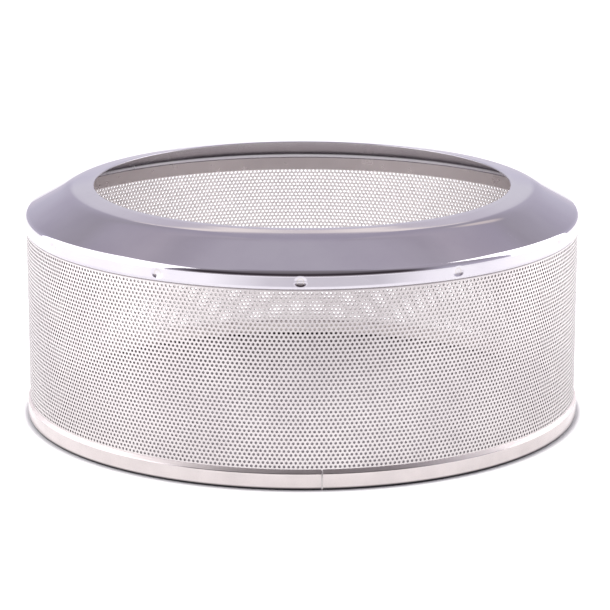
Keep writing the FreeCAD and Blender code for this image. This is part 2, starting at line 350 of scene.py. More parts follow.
# %% [markdown]
# ### The roll
#
# Rolling is one Set Position: distance along the sheet becomes an angle, and depth becomes radius. The
# sheet's face lies at the wall's radius and its back towards the axis.

# %% Rolling


def rolled_hoop(tree, given, flat_sheet):
    """The flat sheet bent round the drum's axis."""
    here = add(tree, "ShaderNodeSeparateXYZ", {0: add(tree, "GeometryNodeInputPosition")})
    turn = add(tree, MATH, {0: here.outputs["X"], 1: given["Wall Radius"]}, operation="DIVIDE")
    angle = add(tree, MATH, {0: turn, 1: given["Start Azimuth"]}, operation="ADD")
    depth = add(tree, MATH, {0: here.outputs["Z"], 1: given["Sheet"]}, operation="SUBTRACT")
    radius = add(tree, MATH, {0: given["Wall Radius"], 1: depth}, operation="ADD")
    sine = add(tree, MATH, {0: angle}, operation="SINE")
    cosine = add(tree, MATH, {0: angle}, operation="COSINE")
    rolled_x = add(tree, MATH, {0: radius, 1: sine}, operation="MULTIPLY")
    ahead = add(tree, MATH, {0: radius, 1: cosine}, operation="MULTIPLY")
    rolled_y = add(tree, MATH, {0: ahead, 1: -1.0}, operation="MULTIPLY")
    rolled = add(tree, "ShaderNodeCombineXYZ", {"X": rolled_x, "Y": rolled_y, "Z": here.outputs["Y"]})
    return add(tree, "GeometryNodeSetPosition", {0: flat_sheet, "Position": rolled})


print("rolled from azimuth %.0f degrees" % SEAM_AZIMUTH)

# %% [markdown]
# ### The whole tree
#
# The steps are joined in the order of the shop: punch, thicken, roll. Every size is a named input, so
# that another sheet needs other numbers and no other tree.

# %% The tree that punches and rolls a panel


def punched_panel_tree(material):
    tree = bpy.data.node_groups.new("punch_and_roll", "GeometryNodeTree")
    sockets = (
        ("Margins", "INPUT", "NodeSocketGeometry", None),
        ("First Column", "INPUT", "NodeSocketInt", 0),
        ("Columns", "INPUT", "NodeSocketInt", PANEL_COLUMNS),
        ("Rows", "INPUT", "NodeSocketInt", HOLE_ROWS),
        ("Pitch", "INPUT", "NodeSocketFloat", HOLE_PITCH),
        ("Hole Diameter", "INPUT", "NodeSocketFloat", HOLE_DIAMETER),
        ("Sheet", "INPUT", "NodeSocketFloat", WALL_SHEET),
        ("Field Start", "INPUT", "NodeSocketFloat", FIELD_START),
        ("Lowest Row", "INPUT", "NodeSocketFloat", BOTTOM_ROW_HEIGHT),
        ("Wall Radius", "INPUT", "NodeSocketFloat", WALL_RADIUS),
        ("Start Azimuth", "INPUT", "NodeSocketFloat", math.radians(SEAM_AZIMUTH)),
        ("Panel", "OUTPUT", "NodeSocketGeometry", None),
    )
    for name, way, kind, value in sockets:
        socket = tree.interface.new_socket(name=name, in_out=way, socket_type=kind)
        if value is not None:
            socket.default_value = value
    given = add(tree, "NodeGroupInput").outputs
    field = field_of_cells(tree, given, holed_cell(tree, given))
    sheet = add(tree, "GeometryNodeJoinGeometry", {0: [field, given["Margins"]]})
    hoop = rolled_hoop(tree, given, thick_and_mapped(tree, given, sheet))
    solid = add(tree, "GeometryNodeRealizeInstances", {0: hoop})
    dressed = add(tree, "GeometryNodeSetMaterial", {0: solid, "Material": material})
    add(tree, "NodeGroupOutput", {0: dressed})
    print("punch_and_roll has %d nodes" % len(tree.nodes))
    return tree

# %% [markdown]
# ## Cylindrical places for the metal's patterns
#
# Rolling, spinning and polishing all leave lines that run round the drum. A pattern that follows them
# needs the distance from the axis, the height and the way round. They are worked out from Object
# coordinates, which stay with the metal. The way round is stretched to millimetres at the wall.

# %% Places round the drum


def places_round(tree):
    """Distance from the axis, height and way round, each in metres, and Object coordinates."""
    seen = add(tree, "ShaderNodeTexCoord").outputs["Object"]
    x, y, z = add(tree, "ShaderNodeSeparateXYZ", {0: seen}).outputs
    flat = add(tree, "ShaderNodeCombineXYZ", {"X": x, "Y": y})
    radius = add(tree, "ShaderNodeVectorMath", {0: flat}, operation="LENGTH").outputs["Value"]
    turn = add(tree, MATH, {0: y, 1: x}, operation="ARCTAN2")
    way = add(tree, MATH, {0: turn, 1: WALL_RADIUS}, operation="MULTIPLY")
    return seen, radius, z, way


def new_material(name):
    """A material with an empty tree, its Principled shader and its output."""
    material = bpy.data.materials.new(name)
    material.use_nodes = True
    tree = material.node_tree
    tree.nodes.clear()
    steel = add(tree, "ShaderNodeBsdfPrincipled", {"Metallic": 1.0})
    add(tree, "ShaderNodeOutputMaterial", {"Surface": steel.outputs[0]})
    return material, tree, steel


MAP = "ShaderNodeMapRange"
FROM_LOW = 1
FROM_HIGH = 2
TO_LOW = 3
TO_HIGH = 4
print("one turn at the wall is %.1f mm" % (math.tau * WALL_RADIUS / MM))

# %% [markdown]
# ## 2B cold-rolled stainless, perforated
#
# Sheet for perforating is 2B: cold rolled, annealed, pickled and lightly rolled again. It gives a
# soft silvery sheen and blurs what it mirrors, so its roughness is near 0.3. Its grain is far finer
# than a render shows, so the pattern here is the sheen's slow cloudiness, about 40 mm across, and
# the water marks that washing leaves.

# %% The wall's material
PLAIN_BAND_FOOT = TOP_ROW_HEIGHT + 0.45 * HOLE_PITCH


def perforated_2b_stainless():
    material, tree, steel = new_material("perforated_2b_stainless")
    seen, radius, height = places_round(tree)[:3]
    cloud = add(tree, "ShaderNodeTexNoise", {"Vector": seen, "Scale": 25.0, "Detail": 3.0})
    marks = add(tree, "ShaderNodeTexNoise", {"Vector": seen, "Scale": 120.0, "Detail": 4.0})
    share = add(tree, MAP, {0: cloud, FROM_LOW: 0.35, FROM_HIGH: 0.65})
    face = add(tree, "ShaderNodeMix", {
        0: share, MIX_A: linear("#d5cfce"), MIX_B: linear("#ddd8d6")}, data_type="RGBA")

    # The inside face gets a brighter tone, which is painted light, up to the plain band under the collar,
    # and the plain band gets a darker tone, which is painted shade.
    inside = add(tree, MATH, {0: radius, 1: WALL_BORE + 0.04 * MM}, operation="LESS_THAN")
    below_band = add(tree, MATH, {0: height, 1: PLAIN_BAND_FOOT}, operation="LESS_THAN")
    painted_light_and_shade_inside = add(tree, "ShaderNodeMix", {
        0: below_band, MIX_A: linear("#beb6b6"), MIX_B: linear("#f3efee")}, data_type="RGBA")
    sides = add(tree, "ShaderNodeMix", {
        0: inside, MIX_A: face.outputs[MIX_RESULT], MIX_B: painted_light_and_shade_inside.outputs[MIX_RESULT]}, data_type="RGBA")

    # The wall of a punched hole is sheared metal: rougher, and darker than the rolled faces, partly in its
    # own duller tone and partly as painted shade inside the holes.
    off_middle = add(tree, MATH, {0: radius, 1: WALL_RADIUS - WALL_SHEET / 2}, operation="SUBTRACT")
    depth = add(tree, MATH, {0: off_middle}, operation="ABSOLUTE")
    sheared = add(tree, MATH, {0: depth, 1: WALL_SHEET * 0.47}, operation="LESS_THAN")
    punched = add(tree, "ShaderNodeMix", {
        0: sheared, MIX_A: sides.outputs[MIX_RESULT], MIX_B: linear("#8a8484")}, data_type="RGBA")

    # A dark line is painted on the outer face close under the collar: a painted shadow of the skirt's edge.
    outside = add(tree, MATH, {0: radius, 1: WALL_RADIUS - 0.04 * MM}, operation="GREATER_THAN")
    near_collar = add(tree, MAP, {0: height, FROM_LOW: PLAIN_BAND_FOOT, FROM_HIGH: collar_low.z - 0.3 * MM})
    painted_skirt_shadow = add(tree, MATH, {0: outside, 1: near_collar}, operation="MULTIPLY")
    tone = add(tree, "ShaderNodeMix", {
        0: painted_skirt_shadow, MIX_A: punched.outputs[MIX_RESULT], MIX_B: linear("#7f797c")}, data_type="RGBA")
    tree.links.new(tone.outputs[MIX_RESULT], steel.inputs["Base Color"])

    gloss = add(tree, MAP, {0: marks, FROM_LOW: 0.3, FROM_HIGH: 0.7, TO_LOW: 0.26, TO_HIGH: 0.36})
    rough = add(tree, MATH, {0: sheared, 1: 0.25, 2: gloss}, operation="MULTIPLY_ADD")
    tree.links.new(rough.outputs[0], steel.inputs["Roughness"])
    bump = add(tree, "ShaderNodeBump", {"Strength": 0.15, "Distance": 0.0004, "Height": cloud})
    tree.links.new(bump.outputs[0], steel.inputs["Normal"])
    return material


wall_material = perforated_2b_stainless()
print("made", wall_material.name)

# %% [markdown]
# ## Making the panels
#
# Each panel is one Geometry Nodes object. The tree is shared, and only the first column differs. The
# result is turned into a plain mesh, because the modifier has done its work by then.

# %% Panels


def mesh_object(name, points, faces, material=None):
    mesh = bpy.data.meshes.new(name)
    mesh.from_pydata([tuple(p) for p in points], [], [tuple(f) for f in faces])
    if material:
        mesh.materials.append(material)
    made = bpy.data.objects.new(name, mesh)
    bpy.context.scene.collection.objects.link(made)
    return made


def flat_margins(name, quads):
    """The margins as one flat mesh whose quads share their corners."""
    numbers = {}
    faces = []
    for quad in quads:
        faces.append([numbers.setdefault((round(x, 7), round(y, 7)), len(numbers)) for x, y in quad])
    return mesh_object(name, [(x, y, 0) for x, y in numbers], faces)


def frozen(made, material):
    """The evaluated object as a plain mesh under the same name, with its modifiers gone."""
    evaluated = made.evaluated_get(bpy.context.evaluated_depsgraph_get())
    mesh = bpy.data.meshes.new_from_object(evaluated)
    made.modifiers.clear()
    made.data = mesh
    mesh.materials.clear()
    mesh.materials.append(material)
    return made


def socket_id(tree, name):
    for item in tree.interface.items_tree:
        if item.name == name and item.in_out == "INPUT":
            return item.identifier
    raise KeyError(name)


punch_and_roll = punched_panel_tree(wall_material)
for panel in range(PANELS):
    piece = flat_margins("perforated_wall_panel_%d" % (panel + 1), margin_quads(panel))
    modifier = piece.modifiers.new("punch_and_roll", "NODES")
    modifier.node_group = punch_and_roll
    modifier[socket_id(punch_and_roll, "First Column")] = panel * PANEL_COLUMNS
    frozen(piece, wall_material)
    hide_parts("perforated_wall")
    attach(piece, "root")
    print("%s: %d faces, uv maps %s" % (
        piece.name, len(piece.data.polygons), [layer.name for layer in piece.data.uv_layers]))

# %% [markdown]
# ## Turning a bent sheet
#
# The collar and the edging strip are both sheet that was bent to a section and runs round the drum.
# Their outer line is a few corners with a bend radius at each, as on a shop drawing. The inner line
# is the same one a sheet's thickness inside. A screw modifier could turn it, but then every step
# round is alike, and the collar needs finer steps at its spot welds, so code turns it.

# %% Bent lines and turned sheets


def bent_line(corners, bends, steps, arc_step=4.0):
    """Points and normals along a line of (radius, height) corners, with an arc at each inner corner.

    bends has a radius for each inner corner, and steps the number of parts of each straight run.
    """
    line = [np.array(corner) for corner in corners]
    runs = [line[i + 1] - line[i] for i in range(len(line) - 1)]
    runs = [run / np.linalg.norm(run) for run in runs]
    points, normals = [], []
    start = line[0]
    for i, run in enumerate(runs):
        side = np.array([run[1], -run[0]])
        last = i == len(runs) - 1
        turn = 0 if last else math.acos(np.clip(run @ runs[i + 1], -1, 1))
        reach = 0 if last else bends[i] * math.tan(turn / 2)
        end = line[i + 1] - run * reach
        for t in np.linspace(0, 1, steps[i] + 1):
            points.append(start + (end - start) * t)
            normals.append(side)
        if last:
            break
        way = 1 if run[0] * runs[i + 1][1] - run[1] * runs[i + 1][0] > 0 else -1
        middle = end - side * bends[i] * way
        count = max(3, math.ceil(math.degrees(turn) / arc_step))
        for t in np.arange(1, count) / count:
            angle = way * turn * t
            c, s = math.cos(angle), math.sin(angle)
            turned_side = np.array([side[0] * c - side[1] * s, side[0] * s + side[1] * c])
            points.append(middle + turned_side * bends[i] * way)
            normals.append(turned_side)
        start = line[i + 1] + runs[i + 1] * reach
    return np.array(points), np.array(normals)


def hemmed(outer, normals, thickness, hem_parts=6):
    """The closed section of a sheet: its outer line, its inner line and a rounded edge at each end.

    thickness is one number for each point of the outer line.
    """
    inner = outer - normals * thickness[:, None]
    middle = (outer + inner) / 2
    ahead = np.array([middle[1] - middle[0], middle[-1] - middle[-2]])
    ahead /= np.linalg.norm(ahead, axis=1)[:, None]
    loop = []
    for place, direction, first, second in (
            (0, -ahead[0], inner, outer), (-1, ahead[1], outer, inner)):
        radius = thickness[place] / 2
        back = middle[place] - direction * radius
        arm = (first[place] - second[place]) / 2
        hem = [back + arm * math.cos(a) + direction * radius * math.sin(a)
               for a in np.linspace(0, math.pi, hem_parts + 1)]
        loop += hem
        loop += list(outer[1:-1]) if place == 0 else list(inner[1:-1][::-1])
    return np.array(loop)


def around(azimuth, radius):
    """x and y of a place round the drum."""
    turn = math.radians(azimuth)
    return math.sin(turn) * radius, -math.cos(turn) * radius


def turned_sheet(name, loop, azimuths, whole, material, pressed=None):
    """Turns a closed section through the azimuths. pressed moves a point out by azimuth and height."""
    count = len(loop)
    points = []
    for azimuth in azimuths:
        turn = math.radians(azimuth)
        radii = loop[:, 0] + (pressed(azimuth, loop) if pressed else 0)
        points.append(np.column_stack(
            [np.sin(turn) * radii, -np.cos(turn) * radii, loop[:, 1]]))
    faces = []
    columns = len(azimuths)
    for i in range(columns if whole else columns - 1):
        here, after = i * count, (i + 1) % columns * count
        for j in range(count):
            k = (j + 1) % count
            faces.append((here + j, after + j, after + k, here + k))
    if not whole:
        faces.append(range(count))
        faces.append(range((columns - 1) * count + count - 1, (columns - 1) * count - 1, -1))
    made = mesh_object(name, np.concatenate(points), faces, material)
    outward_and_smooth(made)
    print("%s: %d faces" % (name, len(made.data.polygons)))
    return made


def outward_and_smooth(made, sharpest=40):
    """Turns every face outwards, then shades smoothly but for edges sharper than that many degrees."""
    work = bmesh.new()
    work.from_mesh(made.data)
    bmesh.ops.recalc_face_normals(work, faces=work.faces)
    work.to_mesh(made.data)
    work.free()
    made.data.polygons.foreach_set("use_smooth", [True] * len(made.data.polygons))
    made.data.set_sharp_from_angle(angle=math.radians(sharpest))


def belongs(piece, slot, *nodes):
    """The piece stands for those nodes and rides on the one body. slot is not used."""
    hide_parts(*nodes)
    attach(piece, "root")


test_line = bent_line([(1, 0), (1, 2), (0, 3)], [0.5], [1, 1])[0]
print("a bent line of %d points" % len(test_line))

# %% [markdown]
# ## Polished stainless, spun
#
# The collar was spun from a disc over a wooden former and then mopped with polishing compound while
# it turned. It mirrors its surroundings nearly sharply, with roughness near 0.06, and the fine lines
# that run round it draw the reflections out a little. Real polishing lines are under 0.05 mm apart. These
# are drawn 0.5 mm apart, which is as coarse as they need to be to show.
# A few hairline scratches and water marks come from use.

# %% The collar's material


def polished_spun_stainless():
    material, tree, steel = new_material("polished_spun_stainless")
    seen, radius, height, way = places_round(tree)
    drawn_out = add(tree, MATH, {0: way, 1: 0.02}, operation="MULTIPLY")
    lines_at = add(tree, "ShaderNodeCombineXYZ", {"X": radius, "Y": height, "Z": drawn_out})
    lines = add(tree, "ShaderNodeTexNoise", {"Vector": lines_at, "Scale": 2000.0, "Detail": 2.0})
    smudge = add(tree, "ShaderNodeTexNoise", {"Vector": seen, "Scale": 28.0, "Detail": 4.0})

    # Hairline scratches: the straight borders between 50 mm cells, and only a few of them.
    border = add(tree, "ShaderNodeTexVoronoi", {"Vector": seen, "Scale": 20.0}, feature="DISTANCE_TO_EDGE")
    hair = add(tree, MATH, {0: border, 1: 0.0022}, operation="LESS_THAN")
    where = add(tree, "ShaderNodeTexNoise", {"Vector": seen, "Scale": 17.0, "Detail": 0.0})
    here = add(tree, MATH, {0: where, 1: 0.62}, operation="GREATER_THAN")
    scratch = add(tree, MATH, {0: hair, 1: here}, operation="MULTIPLY")

    share = add(tree, MAP, {0: smudge, FROM_LOW: 0.35, FROM_HIGH: 0.65})
    tone = add(tree, "ShaderNodeMix", {
        0: share, MIX_A: linear("#d0ccd3"), MIX_B: linear("#d7d4d9")}, data_type="RGBA")
    tree.links.new(tone.outputs[MIX_RESULT], steel.inputs["Base Color"])
    gloss = add(tree, MAP, {0: smudge, FROM_LOW: 0.3, FROM_HIGH: 0.7, TO_LOW: 0.04, TO_HIGH: 0.075})
    with_lines = add(tree, MATH, {0: scratch, 1: 0.16, 2: gloss}, operation="MULTIPLY_ADD")

    # Only the outside was mopped. Inside, where the metal faces the axis or down, it is brushed.
    up_and_out = add(tree, "ShaderNodeVectorMath", {0: seen, 1: (1.0, 1.0, 0.0)}, operation="MULTIPLY")
    up_and_out = add(tree, "ShaderNodeVectorMath", {0: up_and_out}, operation="NORMALIZE")
    up_and_out = add(tree, "ShaderNodeVectorMath", {0: up_and_out, 1: (0.0, 0.0, 1.0)}, operation="ADD")
    facing = add(tree, "ShaderNodeNewGeometry").outputs["Normal"]
    outwards = add(tree, "ShaderNodeVectorMath", {0: facing, 1: up_and_out}, operation="DOT_PRODUCT")
    brushed = add(tree, MAP, {0: outwards.outputs["Value"], FROM_LOW: 0.1, FROM_HIGH: -0.1, TO_HIGH: 0.20})
    rough = add(tree, MATH, {0: with_lines, 1: brushed}, operation="ADD")
    tree.links.new(rough.outputs[0], steel.inputs["Roughness"])
    fine = add(tree, "ShaderNodeBump", {"Strength": 0.10, "Distance": 0.00002, "Height": lines})
    tree.links.new(fine.outputs[0], steel.inputs["Normal"])
    return material


collar_material = polished_spun_stainless()
print("made", collar_material.name)

# %% [markdown]
# ## The collar
#
# From its lower edge up: a short skirt that hugs the wall, whose edge is curled in and dressed down,
# a rounded shoulder, a cone, a soft bend and a nearly flat lip. The twelve spot welds are pressed
# from outside, so each leaves a shallow oval dish in the skirt.

# %% The collar's shape
rim = next(mount for mount in frame["record"]["mounts"] if mount["name"] == "neck_opening")
RIM_RADIUS = rim["dims"]["r_mm"] * MM
RIM_HEIGHT = collar_high.z
COLLAR_SHEET = 0.7 * MM
SKIRT_RADIUS = WALL_RADIUS + COLLAR_SHEET
SKIRT_FOOT = collar_low.z
SKIRT_EDGE = 0.25 * MM
CURL_HEIGHT = 1.8 * MM
CREASE_RADIUS = 135.6 * MM
CONE_SLOPE = math.radians(28.6)
LIP_SLOPE = math.radians(7.6)
SHOULDER_BEND = 4.0 * MM
LIP_BEND = 22.0 * MM
WELD_HEIGHT = 114.2 * MM
WELD_DRIFT = (-0.3, 1.3, 2.5, -0.8, 0.6, 1.1, -1.4, 0.2, 0.9, -0.5, 1.0, 1.3)
WELD_AZIMUTHS = [30 * place + drift for place, drift in enumerate(WELD_DRIFT)]
DISH_WIDE = 3.6 * MM
DISH_HIGH = 2.9 * MM
DISH_DEEP = 0.60 * MM
DISH_LIP = 0.12
FINE_STEPS = 29
COARSE_STEPS = 26

crease_height = RIM_HEIGHT - (CREASE_RADIUS - RIM_RADIUS) * math.tan(LIP_SLOPE)
shoulder_height = crease_height - (SKIRT_RADIUS - CREASE_RADIUS) * math.tan(CONE_SLOPE)
print("crease at %.2f mm, shoulder corner at %.2f mm" % (crease_height / MM, shoulder_height / MM))


def dish(across, up):
    """How deep the electrode pressed at that distance from a spot weld's middle.

    The dish is a parabola, and fades out over a narrow lip on both sides of its edge.
    """
    share = math.hypot(across / DISH_WIDE, up / DISH_HIGH)
    if share >= 1 + DISH_LIP:
        return 0.0
    if share > 1 - DISH_LIP:
        at_lip = DISH_DEEP * (1 - (1 - DISH_LIP) ** 2)
        return at_lip * ((1 + DISH_LIP - share) / (2 * DISH_LIP)) ** 2
    return DISH_DEEP * (1 - share ** 2)


def pressed_skirt(azimuth, loop):
    """The skirt's outer face moves in where it was spot-welded."""
    moved = np.zeros(len(loop))
    near = min(WELD_AZIMUTHS, key=lambda weld: abs((azimuth - weld + 180) % 360 - 180))
    across = math.radians((azimuth - near + 180) % 360 - 180) * SKIRT_RADIUS
    if abs(across) < DISH_WIDE * 1.2:
        for place, (radius, height) in enumerate(loop):
            if height < shoulder_height and radius > WALL_RADIUS + SKIRT_EDGE / 2:
                moved[place] = -dish(across, height - WELD_HEIGHT)
    return moved


def stepped_azimuths():
    """Steps of about a degree, and fine ones across each spot weld."""
    fine = math.degrees(DISH_WIDE * 1.25 / SKIRT_RADIUS)
    found = []
    for place, weld in enumerate(WELD_AZIMUTHS):
        after = WELD_AZIMUTHS[(place + 1) % len(WELD_AZIMUTHS)]
        after += 360 if after < weld else 0
        found += list(np.linspace(weld - fine, weld + fine, FINE_STEPS))
        found += list(np.linspace(weld + fine, after - fine, COARSE_STEPS)[1:-1])
    return found


collar_line, collar_normals = bent_line(
    [(SKIRT_RADIUS, SKIRT_FOOT), (SKIRT_RADIUS, shoulder_height), (CREASE_RADIUS, crease_height),
     (RIM_RADIUS, RIM_HEIGHT)],
    [SHOULDER_BEND, LIP_BEND], [24, 5, 3])
thickness = np.full(len(collar_line), COLLAR_SHEET)
curl_radius = ((COLLAR_SHEET - SKIRT_EDGE) ** 2 + CURL_HEIGHT ** 2) / (2 * (COLLAR_SHEET - SKIRT_EDGE))
for place, (radius, height) in enumerate(collar_line):
    fall = SKIRT_FOOT + CURL_HEIGHT - height
    if fall > 0:
        curl = curl_radius - math.sqrt(curl_radius ** 2 - fall ** 2)
        collar_line[place][0] -= curl
        thickness[place] -= curl
collar = turned_sheet(
    "collar_spun", hemmed(collar_line, collar_normals, thickness), stepped_azimuths(), True,
    collar_material, pressed_skirt)
belongs(collar, "polished_collar", "collar")

# %% [markdown]
# ## Spot-weld nuggets
#
# Under the electrode the two sheets melt together, and what shows is a small round dish whose rim
# keeps a faint straw tint from the heat, however well it was polished over. Each nugget is a thin
# lens that lies in its pressed dish. Its own map runs from the middle to the edge, so that the tint
# can follow it.

# %% Nuggets and their material
RINGS = 7
SPOKES = 28
LENS_HALF = 0.03 * MM


def heat_tinted_nugget():
    material, tree, steel = new_material("heat_tinted_nugget")
    spot = add(tree, "ShaderNodeUVMap", uv_map="dish")
    centred = add(tree, "ShaderNodeMapping", {"Vector": spot, "Location": (-0.5, -0.5, 0)})
    out = add(tree, "ShaderNodeVectorMath", {0: centred}, operation="LENGTH")
    tint = add(tree, "ShaderNodeValToRGB", {"Fac": out.outputs["Value"]}, stops=(
        (0.0, "#d3d0d4"), (0.30, "#d5d2d5"), (0.42, "#cfcac6"), (0.5, "#cdc9cc")))
    tree.links.new(tint.outputs[0], steel.inputs["Base Color"])
    seen = add(tree, "ShaderNodeTexCoord").outputs["Object"]
    grain = add(tree, "ShaderNodeTexNoise", {"Vector": seen, "Scale": 1500.0, "Detail": 2.0})
    gloss = add(tree, MAP, {0: grain, FROM_LOW: 0.3, FROM_HIGH: 0.7, TO_LOW: 0.03, TO_HIGH: 0.07})
    tree.links.new(gloss.outputs[0], steel.inputs["Roughness"])
    bump = add(tree, "ShaderNodeBump", {"Strength": 0.2, "Distance": 0.00003, "Height": grain})
    tree.links.new(bump.outputs[0], steel.inputs["Normal"])
    return material


def nuggets(name, azimuths, height, radius_at, reach, proud, material):
    """Thin lenses in one mesh. radius_at(across, up) is the dish's surface, and proud points out."""
    points, faces, places = [], [], []
    for azimuth in azimuths:
        first = len(points)
        for side in (1, -1):
            for ring in range(RINGS + 1):
                share = ring / RINGS
                lift = LENS_HALF * math.sqrt(1 - share ** 2) * side
                for spoke in range(SPOKES):
                    way = math.tau * spoke / SPOKES
                    across = math.cos(way) * share * reach
                    up = math.sin(way) * share * reach
                    radius = radius_at(across, up) + lift * proud
                    x, y = around(azimuth + math.degrees(across / WALL_RADIUS), radius)
                    points.append((x, y, height + up))
                    places.append((0.5 + math.cos(way) * share / 2, 0.5 + math.sin(way) * share / 2))
            layer = first + (0 if side == 1 else (RINGS + 1) * SPOKES)
            for ring in range(RINGS):
                for spoke in range(SPOKES):
                    after = (spoke + 1) % SPOKES
                    a = layer + ring * SPOKES
                    quad = (a + spoke, a + SPOKES + spoke, a + SPOKES + after, a + after)
                    faces.append(quad if side == 1 else quad[::-1])
    made = mesh_object(name, points, faces, material)
    layer = made.data.uv_layers.new(name="dish")
    for loop in made.data.loops:
        layer.data[loop.index].uv = places[loop.vertex_index]
    work = bmesh.new()
    work.from_mesh(made.data)
    bmesh.ops.remove_doubles(work, verts=work.verts, dist=0.0004 * MM)
    work.to_mesh(made.data)
    work.free()
    outward_and_smooth(made, 60)
    print("%s: %d faces" % (name, len(made.data.polygons)))
    return made


nugget_material = heat_tinted_nugget()
collar_nuggets = nuggets(
    "collar_nuggets", WELD_AZIMUTHS, WELD_HEIGHT,
    lambda across, up: SKIRT_RADIUS - dish(across, up), 2.1 * MM, 1, nugget_material)
belongs(collar_nuggets, "spot_weld", "collar_spot_welds")

# %% [markdown]
# ## Bright-annealed strip
#
# The edging is narrow strip, annealed in a protective gas so that it keeps its rolled brightness. It
# mirrors well, and fine drawing lines from the folding rollers run along it. They are drawn 0.4 mm
# apart here, several times coarser than real ones, so that they show.

# %% The strip's material


def bright_annealed_strip():
    material, tree, steel = new_material("bright_annealed_strip")
    seen, radius, height, way = places_round(tree)
    drawn_out = add(tree, MATH, {0: way, 1: 0.03}, operation="MULTIPLY")
    lines_at = add(tree, "ShaderNodeCombineXYZ", {"X": radius, "Y": height, "Z": drawn_out})
    lines = add(tree, "ShaderNodeTexNoise", {"Vector": lines_at, "Scale": 2500.0, "Detail": 2.0})
    smudge = add(tree, "ShaderNodeTexNoise", {"Vector": seen, "Scale": 60.0, "Detail": 3.0})
    share = add(tree, MAP, {0: smudge, FROM_LOW: 0.35, FROM_HIGH: 0.65})
    tone = add(tree, "ShaderNodeMix", {
        0: share, MIX_A: linear("#cfc7c5"), MIX_B: linear("#d7cfcd")}, data_type="RGBA")

    # A dark line is painted round the foot: a painted reflection of the contact shade where the fold stands
    # on the table.
    painted_foot_shade = add(tree, MAP, {0: height, FROM_LOW: 1.9 * MM, FROM_HIGH: 1.0 * MM})
    with_lines = add(tree, "ShaderNodeMix", {
        0: painted_foot_shade, MIX_A: tone.outputs[MIX_RESULT], MIX_B: linear("#454246")}, data_type="RGBA")
    tree.links.new(with_lines.outputs[MIX_RESULT], steel.inputs["Base Color"])
    gloss = add(tree, MAP, {0: lines, FROM_LOW: 0.3, FROM_HIGH: 0.7, TO_LOW: 0.12, TO_HIGH: 0.20})

    # The ledge is duller than the band below it, as if a folding roller had rubbed it.
    rubbed = add(tree, MAP, {0: height, FROM_LOW: 8.9 * MM, FROM_HIGH: 9.5 * MM, TO_HIGH: 0.34})
    rough = add(tree, MATH, {0: gloss, 1: rubbed}, operation="ADD")
    tree.links.new(rough.outputs[0], steel.inputs["Roughness"])
    bump = add(tree, "ShaderNodeBump", {"Strength": 0.15, "Distance": 0.00003, "Height": lines})
    tree.links.new(bump.outputs[0], steel.inputs["Normal"])
    return material


strip_material = bright_annealed_strip()
print("made", strip_material.name)

# %% [markdown]
# ## The edging strip
#
# One strip is folded round the wall's foot: a ledge that closes on the wall, an upright band, a
# narrow rounded foot and a plain leg inside. Its ends meet just right of the front. The butt is
# welded and filed flush, but the file can't reach the ledge, so a small notch stays there.

# %% The strip's shape
STRIP = 0.8 * MM
STRIP_RADIUS = ring_high.x
LEG_BORE = WALL_BORE - STRIP
LEDGE_FOOT = 9.0 * MM
LEDGE_TOP = ring_high.z
LEDGE_BEND = 1.2 * MM
STRIP_BEND = 1.1 * MM
LEG_TOP = 9.5 * MM
STRIP_SEAM_AZIMUTH = 3.8
STRIP_SEAM_GAP = 1.0 * MM

strip_line, strip_normals = bent_line(
    [(LEG_BORE, LEG_TOP), (LEG_BORE, 0), (STRIP_RADIUS, 0), (STRIP_RADIUS, LEDGE_FOOT),
     (WALL_RADIUS + 0.05 * MM, LEDGE_TOP)],
    [STRIP_BEND, STRIP_BEND, LEDGE_BEND], [6, 2, 6, 3], 10.0)
strip_loop = hemmed(strip_line, strip_normals, np.full(len(strip_line), STRIP))
half_gap = math.degrees(STRIP_SEAM_GAP / STRIP_RADIUS) / 2
strip_azimuths = np.linspace(
    STRIP_SEAM_AZIMUTH + half_gap, STRIP_SEAM_AZIMUTH + 360 - half_gap, 721)
base_ring = turned_sheet("edging_strip", strip_loop, strip_azimuths, False, strip_material)
belongs(base_ring, "edging_strip", "base_ring")
print("strip section of %d points" % len(strip_loop))

# %% [markdown]
# ## Planished weld
#
# Both butt seams are TIG welds. The bead is hammered or rolled nearly flush, which is called
# planishing, and brushed across. What shows is a narrow duller stripe with the last trace of the
# bead's ripples, about 1.3 mm apart, and a faint straw tint beside it.

# %% The weld's material


def planished_weld():
    material, tree, steel = new_material("planished_weld")
    seen = add(tree, "ShaderNodeTexCoord").outputs["Object"]
    grain = add(tree, "ShaderNodeTexNoise", {"Vector": seen, "Scale": 900.0, "Detail": 3.0})
    tone = add(tree, "ShaderNodeMix", {
        0: grain, MIX_A: linear("#bdb7b3"), MIX_B: linear("#d0cccd")}, data_type="RGBA")
    tree.links.new(tone.outputs[MIX_RESULT], steel.inputs["Base Color"])
    gloss = add(tree, MAP, {0: grain, FROM_LOW: 0.3, FROM_HIGH: 0.7, TO_LOW: 0.26, TO_HIGH: 0.42})
    tree.links.new(gloss.outputs[0], steel.inputs["Roughness"])
    bump = add(tree, "ShaderNodeBump", {"Strength": 0.3, "Distance": 0.00005, "Height": grain})
    tree.links.new(bump.outputs[0], steel.inputs["Normal"])
    return material


weld_material = planished_weld()
print("made", weld_material.name)

# %% [markdown]
# ## The three welds that are left
#
# The wall's bead runs the full height at one side. The strip's fills its butt joint, and stays low on
# the ledge, where the notch is. The strip's own spot welds are on its inner leg, where the electrode
# left small flat marks.

# %% Welds
WALL_BEAD_HALF = 0.9 * MM
WALL_BEAD_PROUD = 0.10 * MM
RIPPLE = 1.3 * MM
RIPPLE_DEEP = 0.02 * MM
BEAD_COLUMNS = 9
BEAD_ROWS = 4 * round((WALL_TOP - WALL_FOOT) / RIPPLE)


